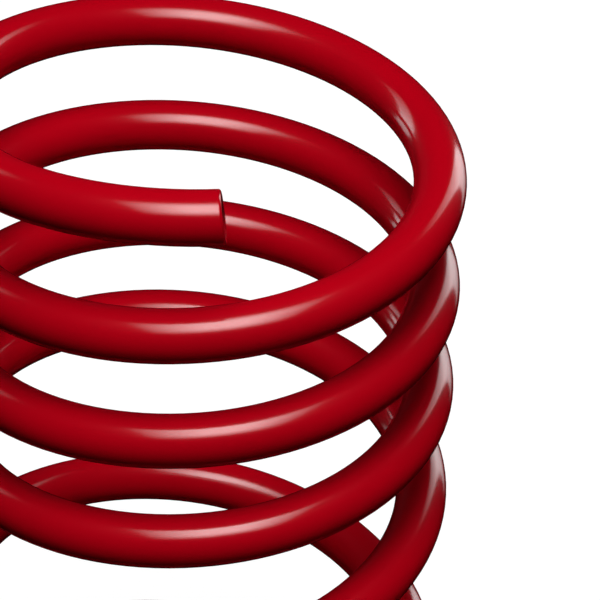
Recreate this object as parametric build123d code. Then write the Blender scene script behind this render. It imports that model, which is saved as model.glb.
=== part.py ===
from build123d import *
import os
from math import cos, radians, sin

# Lowering spring for a car's suspension: one length of round spring steel, wound cold into a
# cylinder, right-hand, with close coils at the top, wide coils below them and a flat seat turn
# at the foot. Millimetres and degrees. The coil's axis is Z, the foot stands on Z = 0, and the
# front of the spring, where the upper tip shows, faces -Y.

# Wire and coil
WIRE_DIAMETER = 12.0
MEAN_COIL_DIAMETER = 110.5
END_ROUNDING = 1.0  # radius of the rim of each sawn end

# Pitch, in millimetres of height for each turn, from the upper tip down
TIP_PITCH = 0.0
FIRST_PITCH = 32.5
CLOSE_PITCH = 27.3
OPEN_PITCH = 62.5
SEAT_PITCH = 0.0

# Length of each stretch of the winding, in turns
TIP_BEND_TURNS = 0.11  # the level tip bends down into the first coil
FIRST_TURNS = 1.2  # the first coil settles to the close pitch
CLOSE_TURNS = 2.12
OPENING_TURNS = 0.62  # the pitch widens to the open one
CLOSING_TURNS = 0.44  # and comes back to the lower one
LOWER_TURNS = 1.08  # a steady pitch down to the seat
SEAT_BEND_TURNS = 0.12  # the wire bends level into the seat
SEAT_TURNS = 0.68  # lies flat on the lower spring seat

TIP_GAP = 0.6  # the lower tip stays this far below the coil over it
UPPER_TIP_ANGLE = -84.0  # seen from above, 0 is along +X
POINTS_PER_TURN = 12  # how finely the centre line is laid out

# The wire passes from one coil's height to the next in the part of a turn that the seat leaves,
# so this pitch clears the lower tip from the coil over it.
LOWER_PITCH = (WIRE_DIAMETER + TIP_GAP) / (1 - SEAT_TURNS - SEAT_BEND_TURNS / 2)

# Each stretch: its length in turns, and the pitch that it reaches at its end
STRETCHES = [
    (TIP_BEND_TURNS, FIRST_PITCH),
    (FIRST_TURNS, CLOSE_PITCH),
    (CLOSE_TURNS, CLOSE_PITCH),
    (OPENING_TURNS, OPEN_PITCH),
    (CLOSING_TURNS, LOWER_PITCH),
    (LOWER_TURNS, LOWER_PITCH),
    (SEAT_BEND_TURNS, SEAT_PITCH),
    (SEAT_TURNS, SEAT_PITCH),
]
TOTAL_TURNS = sum(length for length, _ in STRETCHES)


def fall_at(turns):
    """How far the centre line has come down after so many turns from the upper tip."""
    fall, pitch = 0.0, TIP_PITCH
    for length, next_pitch in STRETCHES:
        part = min(turns, length)
        fall += part * (pitch + (next_pitch - pitch) * part / length / 2)
        turns -= part
        pitch = next_pitch
    return fall


FOOT_HEIGHT = WIRE_DIAMETER / 2  # the wire's centre in the seat turn
FREE_LENGTH = fall_at(TOTAL_TURNS) + WIRE_DIAMETER


def centre_point(turns):
    """A point of the wire's centre line, so many turns from the upper tip."""
    angle = radians(UPPER_TIP_ANGLE - 360 * turns)
    radius = MEAN_COIL_DIAMETER / 2
    height = FREE_LENGTH - FOOT_HEIGHT - fall_at(turns)
    return Vector(radius * cos(angle), radius * sin(angle), height)


def make_centre_line():
    """One smooth curve from the upper tip to the lower tip."""
    steps = round(TOTAL_TURNS * POINTS_PER_TURN)
    return Spline(*[centre_point(TOTAL_TURNS * step / steps) for step in range(steps + 1)])


def make_spring():
    """The round wire along its centre line, with both ends cut square and their rims rounded."""
    centre_line = make_centre_line()
    start = Plane(origin=centre_line @ 0, z_dir=centre_line % 0)
    wire = sweep(start * Circle(WIRE_DIAMETER / 2), path=centre_line)
    end_faces = wire.faces().filter_by(GeomType.PLANE)
    return fillet(end_faces.edges(), END_ROUNDING)


spring = make_spring()
spring.label = "spring_coil"
os.makedirs("parts", exist_ok=True)
export_step(spring, "parts/spring_coil.step")
print(f"turns {TOTAL_TURNS:.2f}, free length {FREE_LENGTH:.1f}, lower pitch {LOWER_PITCH:.1f}")
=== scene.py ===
from math import cos, pi, radians, sin, tan
from typing import NamedTuple

import bpy
from bpy.props import FloatProperty, FloatVectorProperty, IntProperty, PointerProperty
from mathutils import Matrix, Quaternion, Vector


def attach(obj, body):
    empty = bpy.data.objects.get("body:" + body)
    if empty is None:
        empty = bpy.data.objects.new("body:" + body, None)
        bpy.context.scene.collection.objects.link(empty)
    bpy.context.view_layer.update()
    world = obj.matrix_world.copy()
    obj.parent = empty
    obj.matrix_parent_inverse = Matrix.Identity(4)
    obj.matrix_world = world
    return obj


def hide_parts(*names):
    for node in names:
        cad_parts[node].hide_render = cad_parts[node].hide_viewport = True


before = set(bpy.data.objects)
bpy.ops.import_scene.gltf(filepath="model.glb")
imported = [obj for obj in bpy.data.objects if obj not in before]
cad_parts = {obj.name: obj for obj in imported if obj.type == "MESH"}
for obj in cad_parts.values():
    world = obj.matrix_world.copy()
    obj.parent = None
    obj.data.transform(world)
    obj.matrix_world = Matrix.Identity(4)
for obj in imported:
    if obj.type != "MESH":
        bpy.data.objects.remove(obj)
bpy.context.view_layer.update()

bl_info = {
    "name": "Lowering spring",
    "version": (1, 0, 0),
    "blender": (4, 5, 0),
    "location": "3D View > Sidebar > Spring",
    "description": "A cylindrical lowering spring with a progressive winding, coated glossy red",
    "category": "Object",
}

MM = 0.001  # a millimetre in Blender's metres

# The wire and the coil. The axis is Z, the foot stands on Z = 0 and the upper tip faces -Y.
WIRE_DIAMETER = 12.0 * MM
MEAN_COIL_DIAMETER = 110.5 * MM

# The seat turn leaves this part of a turn for the wire to pass to the next coil's height, so the
# lower pitch clears the lower tip from the coil over it.
SEAT_TURNS = 0.68
SEAT_BEND_TURNS = 0.12
TIP_GAP = 0.6 * MM
LOWER_PITCH = (WIRE_DIAMETER + TIP_GAP) / (1 - SEAT_TURNS - SEAT_BEND_TURNS / 2)

# The photograph's view: where its camera stands, how it is turned, and how far it is zoomed in
IMAGE_WIDTH = 600
FOCAL_PIXELS = 3392.8
SENSOR_WIDTH = 36.0
CAMERA_PLACE = (0.0, -0.6512, 0.5835)
CAMERA_YAW = radians(-2.178)
CAMERA_PITCH = radians(33.481)
CAMERA_ROLL = radians(2.090)
CLIP_START = 0.05
CLIP_END = 100.0

# The coating's clear skin, whose roughness goes from thin film to thick film, and the faint haze
# that its finest texture lays over the mirrored lamps
COATING_IOR = 1.5
SKIN_ROUGHNESS = (0.11, 0.15)
HAZE_WEIGHT = 0.07
HAZE_ROUGHNESS = 0.35
NOISE_RANGE = (0.3, 0.7)  # most of a noise texture's values lie between these

# The studio
LIT_POINT = Vector((0, 0, 0.14))
FLAG_DISTANCE = 5.0
FLOOR_SIZE = 60.0
FLOOR_GLOW = 1.11
GLOW_SHARE = 0.88
MIRRORED_TWICE = 2.5  # a lamp's ray depth is 2 where the camera sees it mirrored once, and then 3


class Lamp(NamedTuple):
    """A soft box that faces LIT_POINT, with its angles in degrees and its lengths in metres.
    Azimuth 0 is -Y, where the front of the spring faces. The box is brightest in its middle. It
    dims over side_dim of the way to its sides, down to side_rest there, and over end_dim of the way
    to its dark ends."""
    azimuth: float
    elevation: float
    distance: float
    width: float  # width and height are those seen from 1 m off
    height: float
    radiance: float
    side_dim: float
    end_dim: float
    side_rest: float = 0.0
    roll: float = 0.0
    mirrored: bool = True  # the coating's skin mirrors it
    lights: bool = True  # it lights the red under the skin


# The photograph's highlights and its plain red come from lamps of different sizes and places, so
# some are only mirrored and some only light the red.
LAMPS = {
    "top_panel": Lamp(
        azimuth=7.5, elevation=65.9, roll=-3.0, distance=0.9, width=0.86, height=0.94,
        radiance=8.5, side_dim=0.78, side_rest=0.08, end_dim=0.61, lights=False),
    "key_lamp": Lamp(
        azimuth=5.0, elevation=67.0, distance=1.2, width=0.6, height=0.6,
        radiance=11.7, side_dim=0.3, end_dim=0.3, mirrored=False),
    "right_strip": Lamp(
        azimuth=138.0, elevation=12.0, roll=10.0, distance=2.0, width=0.25, height=1.42,
        radiance=4.4, side_dim=0.1, end_dim=1.0),
    "left_strip": Lamp(
        azimuth=-123.0, elevation=12.7, roll=-3.0, distance=2.0, width=0.26, height=1.36,
        radiance=4.3, side_dim=0.1, end_dim=1.0, lights=False),
    "rear_lamp": Lamp(
        azimuth=-165.0, elevation=12.0, distance=2.0, width=1.0, height=0.6,
        radiance=1.2, side_dim=0.3, end_dim=0.3, mirrored=False),
}


def linear(code):
    """The linear colour, with full alpha, of a six-digit sRGB hex code."""
    shares = [int(code[place:place + 2], 16) / 255 for place in (0, 2, 4)]
    return [share / 12.92 if share <= 0.04045 else ((share + 0.055) / 1.055) ** 2.4
            for share in shares] + [1.0]


def add_node(tree, kind, feeds=(), **settings):
    """Add one node. feeds gives each input, by name or number, a socket or a plain value."""
    node = tree.nodes.new(kind)
    for name, value in settings.items():
        setattr(node, name, value)
    for name, value in dict(feeds).items():
        if isinstance(value, bpy.types.NodeSocket):
            tree.links.new(value, node.inputs[name])
        else:
            node.inputs[name].default_value = value
    return node


def length_property(name, description, default):
    """A length in metres that the sidebar shows in the scene's unit."""
    return FloatProperty(name=name, description=description, default=default, min=0.0,
                         unit="LENGTH", precision=4)


def turns_property(name, description, default):
    """A length of the winding, in turns."""
    return FloatProperty(name=name, description=description, default=default, min=0.01)


class CoilSizes(bpy.types.PropertyGroup):
    """Sizes of the wire and its winding, from the upper tip down"""
    wire_diameter: length_property(
        "Wire Diameter", "Thickness of the coated wire", WIRE_DIAMETER)
    coil_diameter: length_property(
        "Mean Coil Diameter", "Across the coil, from wire centre to wire centre",
        MEAN_COIL_DIAMETER)
    end_rounding: length_property(
        "End Rounding", "Radius of the rim of each sawn end", 0.6 * MM)
    first_pitch: length_property(
        "First Pitch", "Height for each turn just below the level tip", 32.5 * MM)
    close_pitch: length_property(
        "Close Pitch", "Height for each turn of the close upper coils", 27.3 * MM)
    open_pitch: length_property(
        "Open Pitch", "Height for each turn of the widest coil", 62.5 * MM)
    lower_pitch: length_property(
        "Lower Pitch", "Height for each turn down to the seat", LOWER_PITCH)
    tip_bend_turns: turns_property(
        "Tip Bend", "Turns in which the level tip bends down", 0.11)
    first_turns: turns_property(
        "First Turns", "Turns in which the first coil settles to the close pitch", 1.2)
    close_turns: turns_property(
        "Close Turns", "Turns at the close pitch", 2.12)
    opening_turns: turns_property(
        "Opening Turns", "Turns in which the pitch opens", 0.62)
    closing_turns: turns_property(
        "Closing Turns", "Turns in which the pitch comes back to the lower one", 0.44)
    lower_turns: turns_property(
        "Lower Turns", "Turns at the lower pitch", 1.08)
    seat_bend_turns: turns_property(
        "Seat Bend", "Turns in which the wire bends level into the seat", SEAT_BEND_TURNS)
    seat_turns: turns_property(
        "Seat Turns", "Turns that lie flat on the lower spring seat", SEAT_TURNS)
    tip_angle: FloatProperty(
        name="Upper Tip Angle", description="Where the upper tip is cut, seen from above",
        default=radians(-84.0), subtype="ANGLE")
    cut_slope_out: FloatProperty(
        name="Cut Slope Outward", description="Slope of the upper cut, its outer side short",
        default=tan(radians(5.3)))
    cut_slope_up: FloatProperty(
        name="Cut Slope Upward", description="Slope of the upper cut, its top short",
        default=tan(radians(7.7)))
    cut_lead: length_property(
        "Cut Lead", "How far the middle of the upper cut stands out", 0.5 * MM)
    rows_per_turn: IntProperty(
        name="Rows per Turn", description="Rings of faces in each turn", default=112, min=12)
    wire_sides: IntProperty(
        name="Wire Sides", description="Faces round the wire", default=64, min=8)
    rim_rows: IntProperty(
        name="Rim Rows", description="Rings of faces in each rounded rim", default=8, min=1)


class CoatingSettings(bpy.types.PropertyGroup):
    """Colours and texture of the red coating"""
    colour: FloatVectorProperty(
        name="Colour", description="Red of the coating", size=4, subtype="COLOR",
        default=linear("BC0016"), min=0.0, max=1.0)
    deep_colour: FloatVectorProperty(
        name="Deep Colour", description="Red where the coating flowed together thicker", size=4,
        subtype="COLOR", default=linear("B20014"), min=0.0, max=1.0)
    flow_width: length_property(
        "Flow Width", "Width of the faint changes of thickness", 25.0 * MM)
    peel_width: length_property(
        "Peel Width", "Width of one dimple of the orange peel", 3.0 * MM)
    peel_depth: length_property(
        "Peel Depth", "Depth of the orange peel", 0.004 * MM)


class StageSettings(bpy.types.PropertyGroup):
    """Floor and light of the studio"""
    floor_colour: FloatVectorProperty(
        name="Floor", description="Colour of the floor", size=4, subtype="COLOR",
        default=linear("F4F4F2"), min=0.0, max=1.0)
    fill: FloatProperty(
        name="Fill", description="Brightness of the dim light from all sides", default=0.02,
        min=0.0)


def pitch_group():
    """A node group: how far the wire comes down in one stretch, whose pitch changes evenly."""
    tree = bpy.data.node_groups.new("fall_in_stretch", "GeometryNodeTree")
    for name in ("Turns", "Length", "Pitch", "Next Pitch"):
        tree.interface.new_socket(name, in_out="INPUT", socket_type="NodeSocketFloat")
    for name in ("Fall", "Whole Fall", "Turns Left"):
        tree.interface.new_socket(name, in_out="OUTPUT", socket_type="NodeSocketFloat")
    given = add_node(tree, "NodeGroupInput").outputs
    part = add_node(tree, "ShaderNodeClamp", {
        "Value": given["Turns"], "Min": 0.0, "Max": given["Length"]}).outputs[0]
    change = add_node(tree, "ShaderNodeMath", {0: given["Next Pitch"], 1: given["Pitch"]},
                      operation="SUBTRACT").outputs[0]
    falls = []
    for run in (part, given["Length"]):
        share = add_node(tree, "ShaderNodeMath", {0: run, 1: given["Length"]},
                         operation="DIVIDE").outputs[0]
        middle = add_node(tree, "ShaderNodeMath", {0: share, 1: 0.5},
                          operation="MULTIPLY").outputs[0]
        mean_pitch = add_node(tree, "ShaderNodeMath", {0: change, 1: middle, 2: given["Pitch"]},
                              operation="MULTIPLY_ADD").outputs[0]
        falls.append(add_node(tree, "ShaderNodeMath", {0: run, 1: mean_pitch},
                              operation="MULTIPLY").outputs[0])
    left = add_node(tree, "ShaderNodeMath", {0: given["Turns"], 1: part},
                    operation="SUBTRACT").outputs[0]
    add_node(tree, "NodeGroupOutput", {
        "Fall": falls[0], "Whole Fall": falls[1], "Turns Left": left})
    return tree


# The winding's stretches from the upper tip down: each one's length, and the pitch that it reaches
STRETCHES = (
    ("tip_bend_turns", "first_pitch"),
    ("first_turns", "close_pitch"),
    ("close_turns", "close_pitch"),
    ("opening_turns", "open_pitch"),
    ("closing_turns", "lower_pitch"),
    ("lower_turns", "lower_pitch"),
    ("seat_bend_turns", None),  # level
    ("seat_turns", None),
)


def wire_rows(tree, given, turn_length):
    """The number of rows of the wire, and each row's place in turns and its radius. Each rounded
    rim has its own close rows, and the rest are spread evenly."""
    total = 0.0
    for turns, _ in STRETCHES:
        total = add_node(tree, "ShaderNodeMath", {0: total, 1: given[turns]},
                         operation="ADD").outputs[0]
    even_rows = add_node(tree, "ShaderNodeMath", {0: total, 1: given["rows_per_turn"]},
                         operation="MULTIPLY").outputs[0]
    even_rows = add_node(tree, "ShaderNodeMath", {0: even_rows}, operation="ROUND").outputs[0]
    all_rows = add_node(tree, "ShaderNodeMath", {0: given["rim_rows"], 1: 2.0, 2: even_rows},
                        operation="MULTIPLY_ADD").outputs[0]
    count = add_node(tree, "ShaderNodeMath", {0: all_rows, 1: 1.0}, operation="ADD").outputs[0]

    # along runs from 0 to 1 between the rims, and rim from 0 at either end to 1 behind its rim
    index = add_node(tree, "GeometryNodeInputIndex").outputs[0]
    from_start = add_node(tree, "ShaderNodeMath", {0: index, 1: given["rim_rows"]},
                          operation="SUBTRACT").outputs[0]
    along = add_node(tree, "ShaderNodeMath", {0: from_start, 1: even_rows}, operation="DIVIDE",
                     use_clamp=True).outputs[0]
    from_end = add_node(tree, "ShaderNodeMath", {0: all_rows, 1: index},
                        operation="SUBTRACT").outputs[0]
    nearest = add_node(tree, "ShaderNodeMath", {0: index, 1: from_end},
                       operation="MINIMUM").outputs[0]
    rim = add_node(tree, "ShaderNodeMath", {0: nearest, 1: given["rim_rows"]},
                   operation="DIVIDE", use_clamp=True).outputs[0]
    rim_angle = add_node(tree, "ShaderNodeMath", {0: rim, 1: pi / 2},
                         operation="MULTIPLY").outputs[0]

    # A rim's rows lie on a quarter circle, which sets how far they are from the end
    rim_cos = add_node(tree, "ShaderNodeMath", {0: rim_angle}, operation="COSINE").outputs[0]
    rim_run = add_node(tree, "ShaderNodeMath", {0: 1.0, 1: rim_cos},
                       operation="SUBTRACT").outputs[0]
    rim_run = add_node(tree, "ShaderNodeMath", {0: rim_run, 1: given["end_rounding"]},
                       operation="MULTIPLY").outputs[0]
    rim_turns = add_node(tree, "ShaderNodeMath", {0: rim_run, 1: turn_length},
                         operation="DIVIDE").outputs[0]
    side = add_node(tree, "ShaderNodeMath", {0: along, 1: -2.0, 2: 1.0},
                    operation="MULTIPLY_ADD").outputs[0]
    even_run = add_node(tree, "ShaderNodeMath", {0: along, 1: total},
                        operation="MULTIPLY").outputs[0]
    turns = add_node(tree, "ShaderNodeMath", {0: side, 1: rim_turns, 2: even_run},
                     operation="MULTIPLY_ADD").outputs[0]

    # and how much radius they lose
    rim_sin = add_node(tree, "ShaderNodeMath", {0: rim_angle}, operation="SINE").outputs[0]
    lost = add_node(tree, "ShaderNodeMath", {0: 1.0, 1: rim_sin}, operation="SUBTRACT").outputs[0]
    lost = add_node(tree, "ShaderNodeMath", {0: lost, 1: given["end_rounding"]},
                    operation="MULTIPLY").outputs[0]
    wire_radius = add_node(tree, "ShaderNodeMath", {0: given["wire_diameter"], 1: 0.5},
                           operation="MULTIPLY").outputs[0]
    radius = add_node(tree, "ShaderNodeMath", {0: wire_radius, 1: lost},
                      operation="SUBTRACT").outputs[0]
    return count, turns, radius


def winding_place(tree, given, turns):
    """The place on the centre line, so many turns from the upper tip. A right-hand winding runs
    clockwise on its way down, seen from above."""
    # The height is what is left of the fall, stretch by stretch, over the wire in the seat
    height = add_node(tree, "ShaderNodeMath", {0: given["wire_diameter"], 1: 0.5},
                      operation="MULTIPLY").outputs[0]
    group = pitch_group()
    pitch, left = 0.0, turns
    for length, next_name in STRETCHES:
        next_pitch = given[next_name] if next_name else 0.0
        stretch = add_node(tree, "GeometryNodeGroup", {
            "Turns": left, "Length": given[length], "Pitch": pitch, "Next Pitch": next_pitch},
            node_tree=group).outputs
        fall_left = add_node(tree, "ShaderNodeMath", {
            0: stretch["Whole Fall"], 1: stretch["Fall"]}, operation="SUBTRACT").outputs[0]
        height = add_node(tree, "ShaderNodeMath", {0: height, 1: fall_left},
                          operation="ADD").outputs[0]
        pitch, left = next_pitch, stretch["Turns Left"]

    angle = add_node(tree, "ShaderNodeMath", {0: turns, 1: -2 * pi, 2: given["tip_angle"]},
                     operation="MULTIPLY_ADD").outputs[0]
    coil_radius = add_node(tree, "ShaderNodeMath", {0: given["coil_diameter"], 1: 0.5},
                           operation="MULTIPLY").outputs[0]
    across = []
    for operation in ("COSINE", "SINE"):
        turned = add_node(tree, "ShaderNodeMath", {0: angle}, operation=operation).outputs[0]
        across.append(add_node(tree, "ShaderNodeMath", {0: turned, 1: coil_radius},
                               operation="MULTIPLY").outputs[0])
    return add_node(tree, "ShaderNodeCombineXYZ", {
        "X": across[0], "Y": across[1], "Z": height}).outputs[0]


def sloped_cut(tree, given):
    """How far each point of the wire slides, because the saw left the upper tip off square. It
    slides along the wire by how far it lies outward and upward of the centre line."""
    near = add_node(tree, "GeometryNodeInputNamedAttribute", {"Name": "near_tip"}).outputs[0]
    centre = add_node(tree, "GeometryNodeInputNamedAttribute", {"Name": "centre"},
                      data_type="FLOAT_VECTOR").outputs[0]
    level = add_node(tree, "ShaderNodeVectorMath", {0: centre, 1: (1, 1, 0)},
                     operation="MULTIPLY").outputs[0]
    outward = add_node(tree, "ShaderNodeVectorMath", {0: level},
                       operation="NORMALIZE").outputs[0]
    slope_out = add_node(tree, "ShaderNodeVectorMath", {
        0: outward, "Scale": given["cut_slope_out"]}, operation="SCALE").outputs[0]
    slope_up = add_node(tree, "ShaderNodeCombineXYZ", {"Z": given["cut_slope_up"]}).outputs[0]
    slope = add_node(tree, "ShaderNodeVectorMath", {0: slope_out, 1: slope_up},
                     operation="ADD").outputs[0]
    position = add_node(tree, "GeometryNodeInputPosition").outputs[0]
    aside = add_node(tree, "ShaderNodeVectorMath", {0: position, 1: centre},
                     operation="SUBTRACT").outputs[0]
    loss = add_node(tree, "ShaderNodeVectorMath", {0: aside, 1: slope},
                    operation="DOT_PRODUCT").outputs["Value"]
    slide = add_node(tree, "ShaderNodeMath", {0: loss, 1: given["cut_lead"]},
                     operation="SUBTRACT").outputs[0]
    slide = add_node(tree, "ShaderNodeMath", {0: slide, 1: near}, operation="MULTIPLY").outputs[0]
    onward = add_node(tree, "ShaderNodeVectorMath", {0: outward, 1: (0, 0, 1)},
                      operation="CROSS_PRODUCT").outputs[0]
    return add_node(tree, "ShaderNodeVectorMath", {0: onward, "Scale": slide},
                    operation="SCALE").outputs[0]


def coil_tree(material):
    """Geometry Nodes: a round wire wound down from its upper tip by the pitch of each stretch."""
    tree = bpy.data.node_groups.new("wound_wire", "GeometryNodeTree")
    tree.interface.new_socket("Geometry", in_out="OUTPUT", socket_type="NodeSocketGeometry")
    whole = ("rows_per_turn", "wire_sides", "rim_rows")
    for name in CoilSizes.__annotations__:
        kind = "NodeSocketInt" if name in whole else "NodeSocketFloat"
        tree.interface.new_socket(name, in_out="INPUT", socket_type=kind)
    given = add_node(tree, "NodeGroupInput").outputs

    turn_length = add_node(tree, "ShaderNodeMath", {0: given["coil_diameter"], 1: pi},
                           operation="MULTIPLY").outputs[0]
    count, turns, radius = wire_rows(tree, given, turn_length)
    place = winding_place(tree, given, turns)
    line = add_node(tree, "GeometryNodeCurvePrimitiveLine")
    line = add_node(tree, "GeometryNodeResampleCurve", {"Curve": line.outputs[0], "Count": count})
    line = add_node(tree, "GeometryNodeSetPosition", {
        "Geometry": line.outputs[0], "Position": place})

    # near_tip is 1 at the upper tip, and 0 from one wire diameter on
    run = add_node(tree, "ShaderNodeMath", {0: turns, 1: turn_length}, operation="MULTIPLY")
    near = add_node(tree, "ShaderNodeMapRange", {
        "Value": run.outputs[0], "From Max": given["wire_diameter"], "To Min": 1.0, "To Max": 0.0})
    line = add_node(tree, "GeometryNodeStoreNamedAttribute", {
        "Geometry": line.outputs[0], "Name": "near_tip", "Value": near.outputs[0]})
    line = add_node(tree, "GeometryNodeStoreNamedAttribute", {
        "Geometry": line.outputs[0], "Name": "centre", "Value": place}, data_type="FLOAT_VECTOR")

    section = add_node(tree, "GeometryNodeCurvePrimitiveCircle", {
        "Resolution": given["wire_sides"], "Radius": 1.0})
    wire = add_node(tree, "GeometryNodeCurveToMesh", {
        "Curve": line.outputs[0], "Profile Curve": section.outputs[0], "Scale": radius,
        "Fill Caps": True})
    wire = add_node(tree, "GeometryNodeSetPosition", {
        "Geometry": wire.outputs[0], "Offset": sloped_cut(tree, given)})
    wire = add_node(tree, "GeometryNodeSetShadeSmooth", {"Geometry": wire.outputs[0]})
    wire = add_node(tree, "GeometryNodeRealizeInstances", {"Geometry": wire.outputs[0]})
    wire = add_node(tree, "GeometryNodeSetMaterial", {
        "Geometry": wire.outputs[0], "Material": material})
    add_node(tree, "NodeGroupOutput", {"Geometry": wire.outputs[0]})
    return tree


def red_coating(colours):
    """Glossy red powder coat on spring steel: a thick, even film of pigmented polyester that flowed
    out wet in the oven. It is deeply coloured under one clear skin, which mirrors lamps with
    slightly soft edges and a faint haze, and keeps a trace of orange peel."""
    material = bpy.data.materials.new("glossy_red_powder_coat")
    material.use_nodes = True
    tree = material.node_tree
    tree.nodes.clear()
    place = add_node(tree, "ShaderNodeTexCoord").outputs["Object"]

    # Where the film flowed together thicker, it is a little deeper in colour and less sharp
    flow = add_node(tree, "ShaderNodeTexNoise", {
        "Vector": place, "Scale": 1 / colours.flow_width, "Detail": 1.0}).outputs[0]
    red = add_node(tree, "ShaderNodeMix", {0: flow, 6: colours.colour, 7: colours.deep_colour},
                   data_type="RGBA")
    gloss = add_node(tree, "ShaderNodeMapRange", {
        "Value": flow, "From Min": NOISE_RANGE[0], "From Max": NOISE_RANGE[1],
        "To Min": SKIN_ROUGHNESS[0], "To Max": SKIN_ROUGHNESS[1]}).outputs[0]

    peel = add_node(tree, "ShaderNodeTexNoise", {
        "Vector": place, "Scale": 1 / colours.peel_width, "Detail": 0.0}).outputs[0]
    bumped = add_node(tree, "ShaderNodeBump", {
        "Height": peel, "Strength": 1.0, "Distance": colours.peel_depth}).outputs[0]

    shader = add_node(tree, "ShaderNodeBsdfPrincipled", {
        "Base Color": red.outputs[2], "Roughness": gloss, "Normal": bumped, "IOR": COATING_IOR,
        "Coat Weight": HAZE_WEIGHT, "Coat Roughness": HAZE_ROUGHNESS, "Coat IOR": COATING_IOR})
    add_node(tree, "ShaderNodeOutputMaterial", {"Surface": shader.outputs[0]})
    return material


def set_inputs(modifier, sizes):
    """Give each of the coil tree's inputs its size, by the socket's identifier."""
    for item in modifier.node_group.interface.items_tree:
        if item.in_out == "INPUT":
            modifier[item.identifier] = getattr(sizes, item.name)


class SPRING_OT_coil(bpy.types.Operator):
    """Wind the spring's wire and coat it red"""
    bl_idname = "spring.coil"
    bl_label = "Wind Spring Coil"

    def execute(self, context):
        scene = context.scene
        material = red_coating(scene.spring_coating)
        winding = bpy.data.objects.new("winding", bpy.data.meshes.new("winding"))
        scene.collection.objects.link(winding)
        modifier = winding.modifiers.new("wound_wire", "NODES")
        modifier.node_group = coil_tree(material)
        set_inputs(modifier, scene.spring_sizes)
        depsgraph = context.evaluated_depsgraph_get()
        mesh = bpy.data.meshes.new_from_object(winding.evaluated_get(depsgraph))
        mesh.name = "coated_wire"
        winding.modifiers.remove(modifier)
        bpy.data.objects.remove(winding)
        wire = bpy.data.objects.new("coated_wire", mesh)
        scene.collection.objects.link(wire)
        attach(wire, "root")
        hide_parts("spring_coil")
        return {"FINISHED"}


def toward(azimuth, elevation):
    """A unit vector from the spring. Azimuth 0 is -Y, where the front of the spring faces."""
    return Vector((cos(elevation) * sin(azimuth), -cos(elevation) * cos(azimuth), sin(elevation)))


def ray_is(tree, *kinds):
    """A socket that is 1 where the ray is of one of these kinds."""
    path = add_node(tree, "ShaderNodeLightPath").outputs
    either = path[kinds[0]]
    for kind in kinds[1:]:
        either = add_node(tree, "ShaderNodeMath", {0: either, 1: path[kind]},
                          operation="MAXIMUM").outputs[0]
    return either


def soft_box(name, lamp):
    """Set up one of the LAMPS."""
    light = bpy.data.lights.new(name, "AREA")
    light.shape = "RECTANGLE"
    light.size = lamp.width * lamp.distance
    light.size_y = lamp.height * lamp.distance
    light.energy = lamp.radiance * pi * light.size * light.size_y
    light.use_nodes = True
    tree = light.node_tree
    tree.nodes.clear()

    # The coating mirrors the lamp, but not the mirrored lamp in the next coil: that picture of it
    # is too faint to show in the photograph
    depth = add_node(tree, "ShaderNodeLightPath").outputs["Ray Depth"]
    share = add_node(tree, "ShaderNodeMath", {0: depth, 1: MIRRORED_TWICE},
                     operation="LESS_THAN").outputs[0]
    spot = add_node(tree, "ShaderNodeNewGeometry").outputs["Parametric"]
    spot = add_node(tree, "ShaderNodeSeparateXYZ", {0: spot}).outputs
    for axis, dim, rest in (("X", lamp.side_dim, lamp.side_rest), ("Y", lamp.end_dim, 0.0)):
        off = add_node(tree, "ShaderNodeMath", {0: spot[axis], 1: 0.5}, operation="SUBTRACT")
        off = add_node(tree, "ShaderNodeMath", {0: off.outputs[0]}, operation="ABSOLUTE")
        dimmed = add_node(tree, "ShaderNodeMapRange", {
            "Value": off.outputs[0], "From Min": 0.5 - 0.5 * dim, "From Max": 0.5,
            "To Min": 1.0, "To Max": rest})
        share = add_node(tree, "ShaderNodeMath", {0: share, 1: dimmed.outputs[0]},
                         operation="MULTIPLY").outputs[0]
    glow = add_node(tree, "ShaderNodeEmission", {"Strength": share})
    add_node(tree, "ShaderNodeOutputLight", {0: glow.outputs[0]})

    box = bpy.data.objects.new(name, light)
    away = toward(radians(lamp.azimuth), radians(lamp.elevation))
    box.location = LIT_POINT + away * lamp.distance
    facing = away.to_track_quat("Z", "Y") @ Quaternion((0, 0, 1), radians(lamp.roll))
    box.rotation_euler = facing.to_euler()
    box.visible_camera = False
    box.visible_diffuse = lamp.lights
    box.visible_glossy = lamp.mirrored
    bpy.context.scene.collection.objects.link(box)


def white_world(fill):
    """White behind the object, and a dim light on it from all sides."""
    world = bpy.data.worlds.new("studio")
    bpy.context.scene.world = world
    world.use_nodes = True
    tree = world.node_tree
    tree.nodes.clear()
    seen = ray_is(tree, "Is Camera Ray", "Is Glossy Ray", "Is Transmission Ray")
    strength = add_node(tree, "ShaderNodeMapRange", {
        "Value": seen, "To Min": fill, "To Max": 1.0}).outputs[0]
    sky = add_node(tree, "ShaderNodeBackground", {"Color": (1, 1, 1, 1), "Strength": strength})
    add_node(tree, "ShaderNodeOutputWorld", {0: sky.outputs[0]})


def pale_floor(colour):
    """A wide pale floor that shows white and keeps a faint shadow of the spring."""
    material = bpy.data.materials.new("pale_floor")
    material.use_nodes = True
    tree = material.node_tree
    tree.nodes.clear()
    paint = add_node(tree, "ShaderNodeBsdfDiffuse", {"Color": list(colour)})
    glow = add_node(tree, "ShaderNodeEmission", {"Strength": FLOOR_GLOW})
    seen = ray_is(tree, "Is Camera Ray", "Is Glossy Ray", "Is Transmission Ray")
    share = add_node(tree, "ShaderNodeMath", {0: seen, 1: GLOW_SHARE}, operation="MULTIPLY")
    mixed = add_node(tree, "ShaderNodeMixShader", {
        0: share.outputs[0], 1: paint.outputs[0], 2: glow.outputs[0]})
    add_node(tree, "ShaderNodeOutputMaterial", {0: mixed.outputs[0]})

    floor = flat_sheet("floor", FLOOR_SIZE, material)
    floor.visible_diffuse = False
    floor.visible_glossy = False
    floor.visible_shadow = False
    return floor


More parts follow.
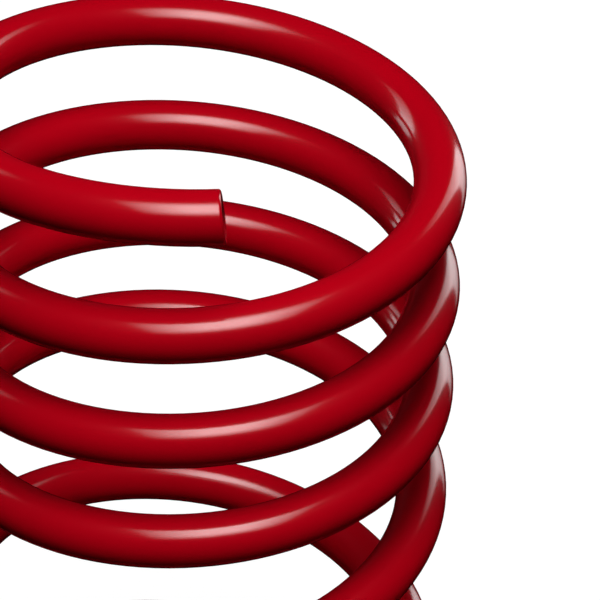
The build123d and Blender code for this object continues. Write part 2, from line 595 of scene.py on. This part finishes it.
def flat_sheet(name, size, material):
    """A square sheet on the ground."""
    half = size / 2
    mesh = bpy.data.meshes.new(name)
    corners = [(-half, -half, 0), (half, -half, 0), (half, half, 0), (-half, half, 0)]
    mesh.from_pydata(corners, [], [(0, 1, 2, 3)])
    mesh.materials.append(material)
    sheet = bpy.data.objects.new(name, mesh)
    bpy.context.scene.collection.objects.link(sheet)
    return sheet


def dark_flags():
    """Black cloth round the spring, far outside the lamps. Only mirrored light sees it, so the
    coating reflects the lamps against a dark room."""
    material = bpy.data.materials.new("black_cloth")
    material.use_nodes = True
    tree = material.node_tree
    tree.nodes.clear()
    cloth = add_node(tree, "ShaderNodeEmission", {"Strength": 0.0})
    add_node(tree, "ShaderNodeOutputMaterial", {0: cloth.outputs[0]})
    reach = FLAG_DISTANCE
    corners = [(x, y, z) for x in (-reach, reach) for y in (-reach, reach) for z in (-reach, reach)]
    sides = [(0, 1, 3, 2), (4, 6, 7, 5), (0, 4, 5, 1), (2, 3, 7, 6), (0, 2, 6, 4), (1, 5, 7, 3)]
    mesh = bpy.data.meshes.new("dark_flags")
    mesh.from_pydata(corners, [], sides)
    mesh.materials.append(material)
    flags = bpy.data.objects.new("dark_flags", mesh)
    bpy.context.scene.collection.objects.link(flags)
    flags.visible_camera = False
    flags.visible_diffuse = False
    flags.visible_transmission = False
    flags.visible_shadow = False
    flags.visible_volume_scatter = False
    return flags


def photo_camera():
    """The photograph's camera: it looks down on the upper coils from the front."""
    data = bpy.data.cameras.new("photo_view")
    data.sensor_width = SENSOR_WIDTH
    data.lens = FOCAL_PIXELS / IMAGE_WIDTH * SENSOR_WIDTH
    data.clip_start = CLIP_START
    data.clip_end = CLIP_END
    camera = bpy.data.objects.new("photo_view", data)
    turn = Matrix.Rotation(CAMERA_YAW, 4, "Z") @ Matrix.Rotation(pi / 2 - CAMERA_PITCH, 4, "X")
    turn = turn @ Matrix.Rotation(CAMERA_ROLL, 4, "Z")
    camera.matrix_world = Matrix.Translation(CAMERA_PLACE) @ turn
    bpy.context.scene.collection.objects.link(camera)
    bpy.context.scene.camera = camera


class SPRING_OT_stage(bpy.types.Operator):
    """Set up the floor, the lamps and the camera"""
    bl_idname = "spring.stage"
    bl_label = "Set Up Stage"

    def execute(self, context):
        settings = context.scene.spring_stage
        context.scene.view_settings.view_transform = "Standard"
        white_world(settings.fill)
        pale_floor(settings.floor_colour)
        dark_flags()
        for name, lamp in LAMPS.items():
            soft_box(name, lamp)
        photo_camera()
        return {"FINISHED"}


class SPRING_PT_panel(bpy.types.Panel):
    """The spring's sizes, colours and operators in the sidebar"""
    bl_idname = "SPRING_PT_panel"
    bl_label = "Lowering Spring"
    bl_space_type = "VIEW_3D"
    bl_region_type = "UI"
    bl_category = "Spring"

    def draw(self, context):
        scene = context.scene
        for settings in (scene.spring_sizes, scene.spring_coating, scene.spring_stage):
            column = self.layout.column(align=True)
            for name in type(settings).__annotations__:
                column.prop(settings, name)
        self.layout.operator(SPRING_OT_coil.bl_idname)
        self.layout.operator(SPRING_OT_stage.bl_idname)


GROUPS = {
    "spring_sizes": CoilSizes,
    "spring_coating": CoatingSettings,
    "spring_stage": StageSettings,
}
CLASSES = (*GROUPS.values(), SPRING_OT_coil, SPRING_OT_stage, SPRING_PT_panel)


def register():
    for added in CLASSES:
        bpy.utils.register_class(added)
    for name, group in GROUPS.items():
        setattr(bpy.types.Scene, name, PointerProperty(type=group))


def unregister():
    for name in GROUPS:
        delattr(bpy.types.Scene, name)
    for added in reversed(CLASSES):
        bpy.utils.unregister_class(added)


def main():
    register()
    bpy.ops.spring.coil()
    bpy.ops.spring.stage()


if __name__ == "__main__":
    main()
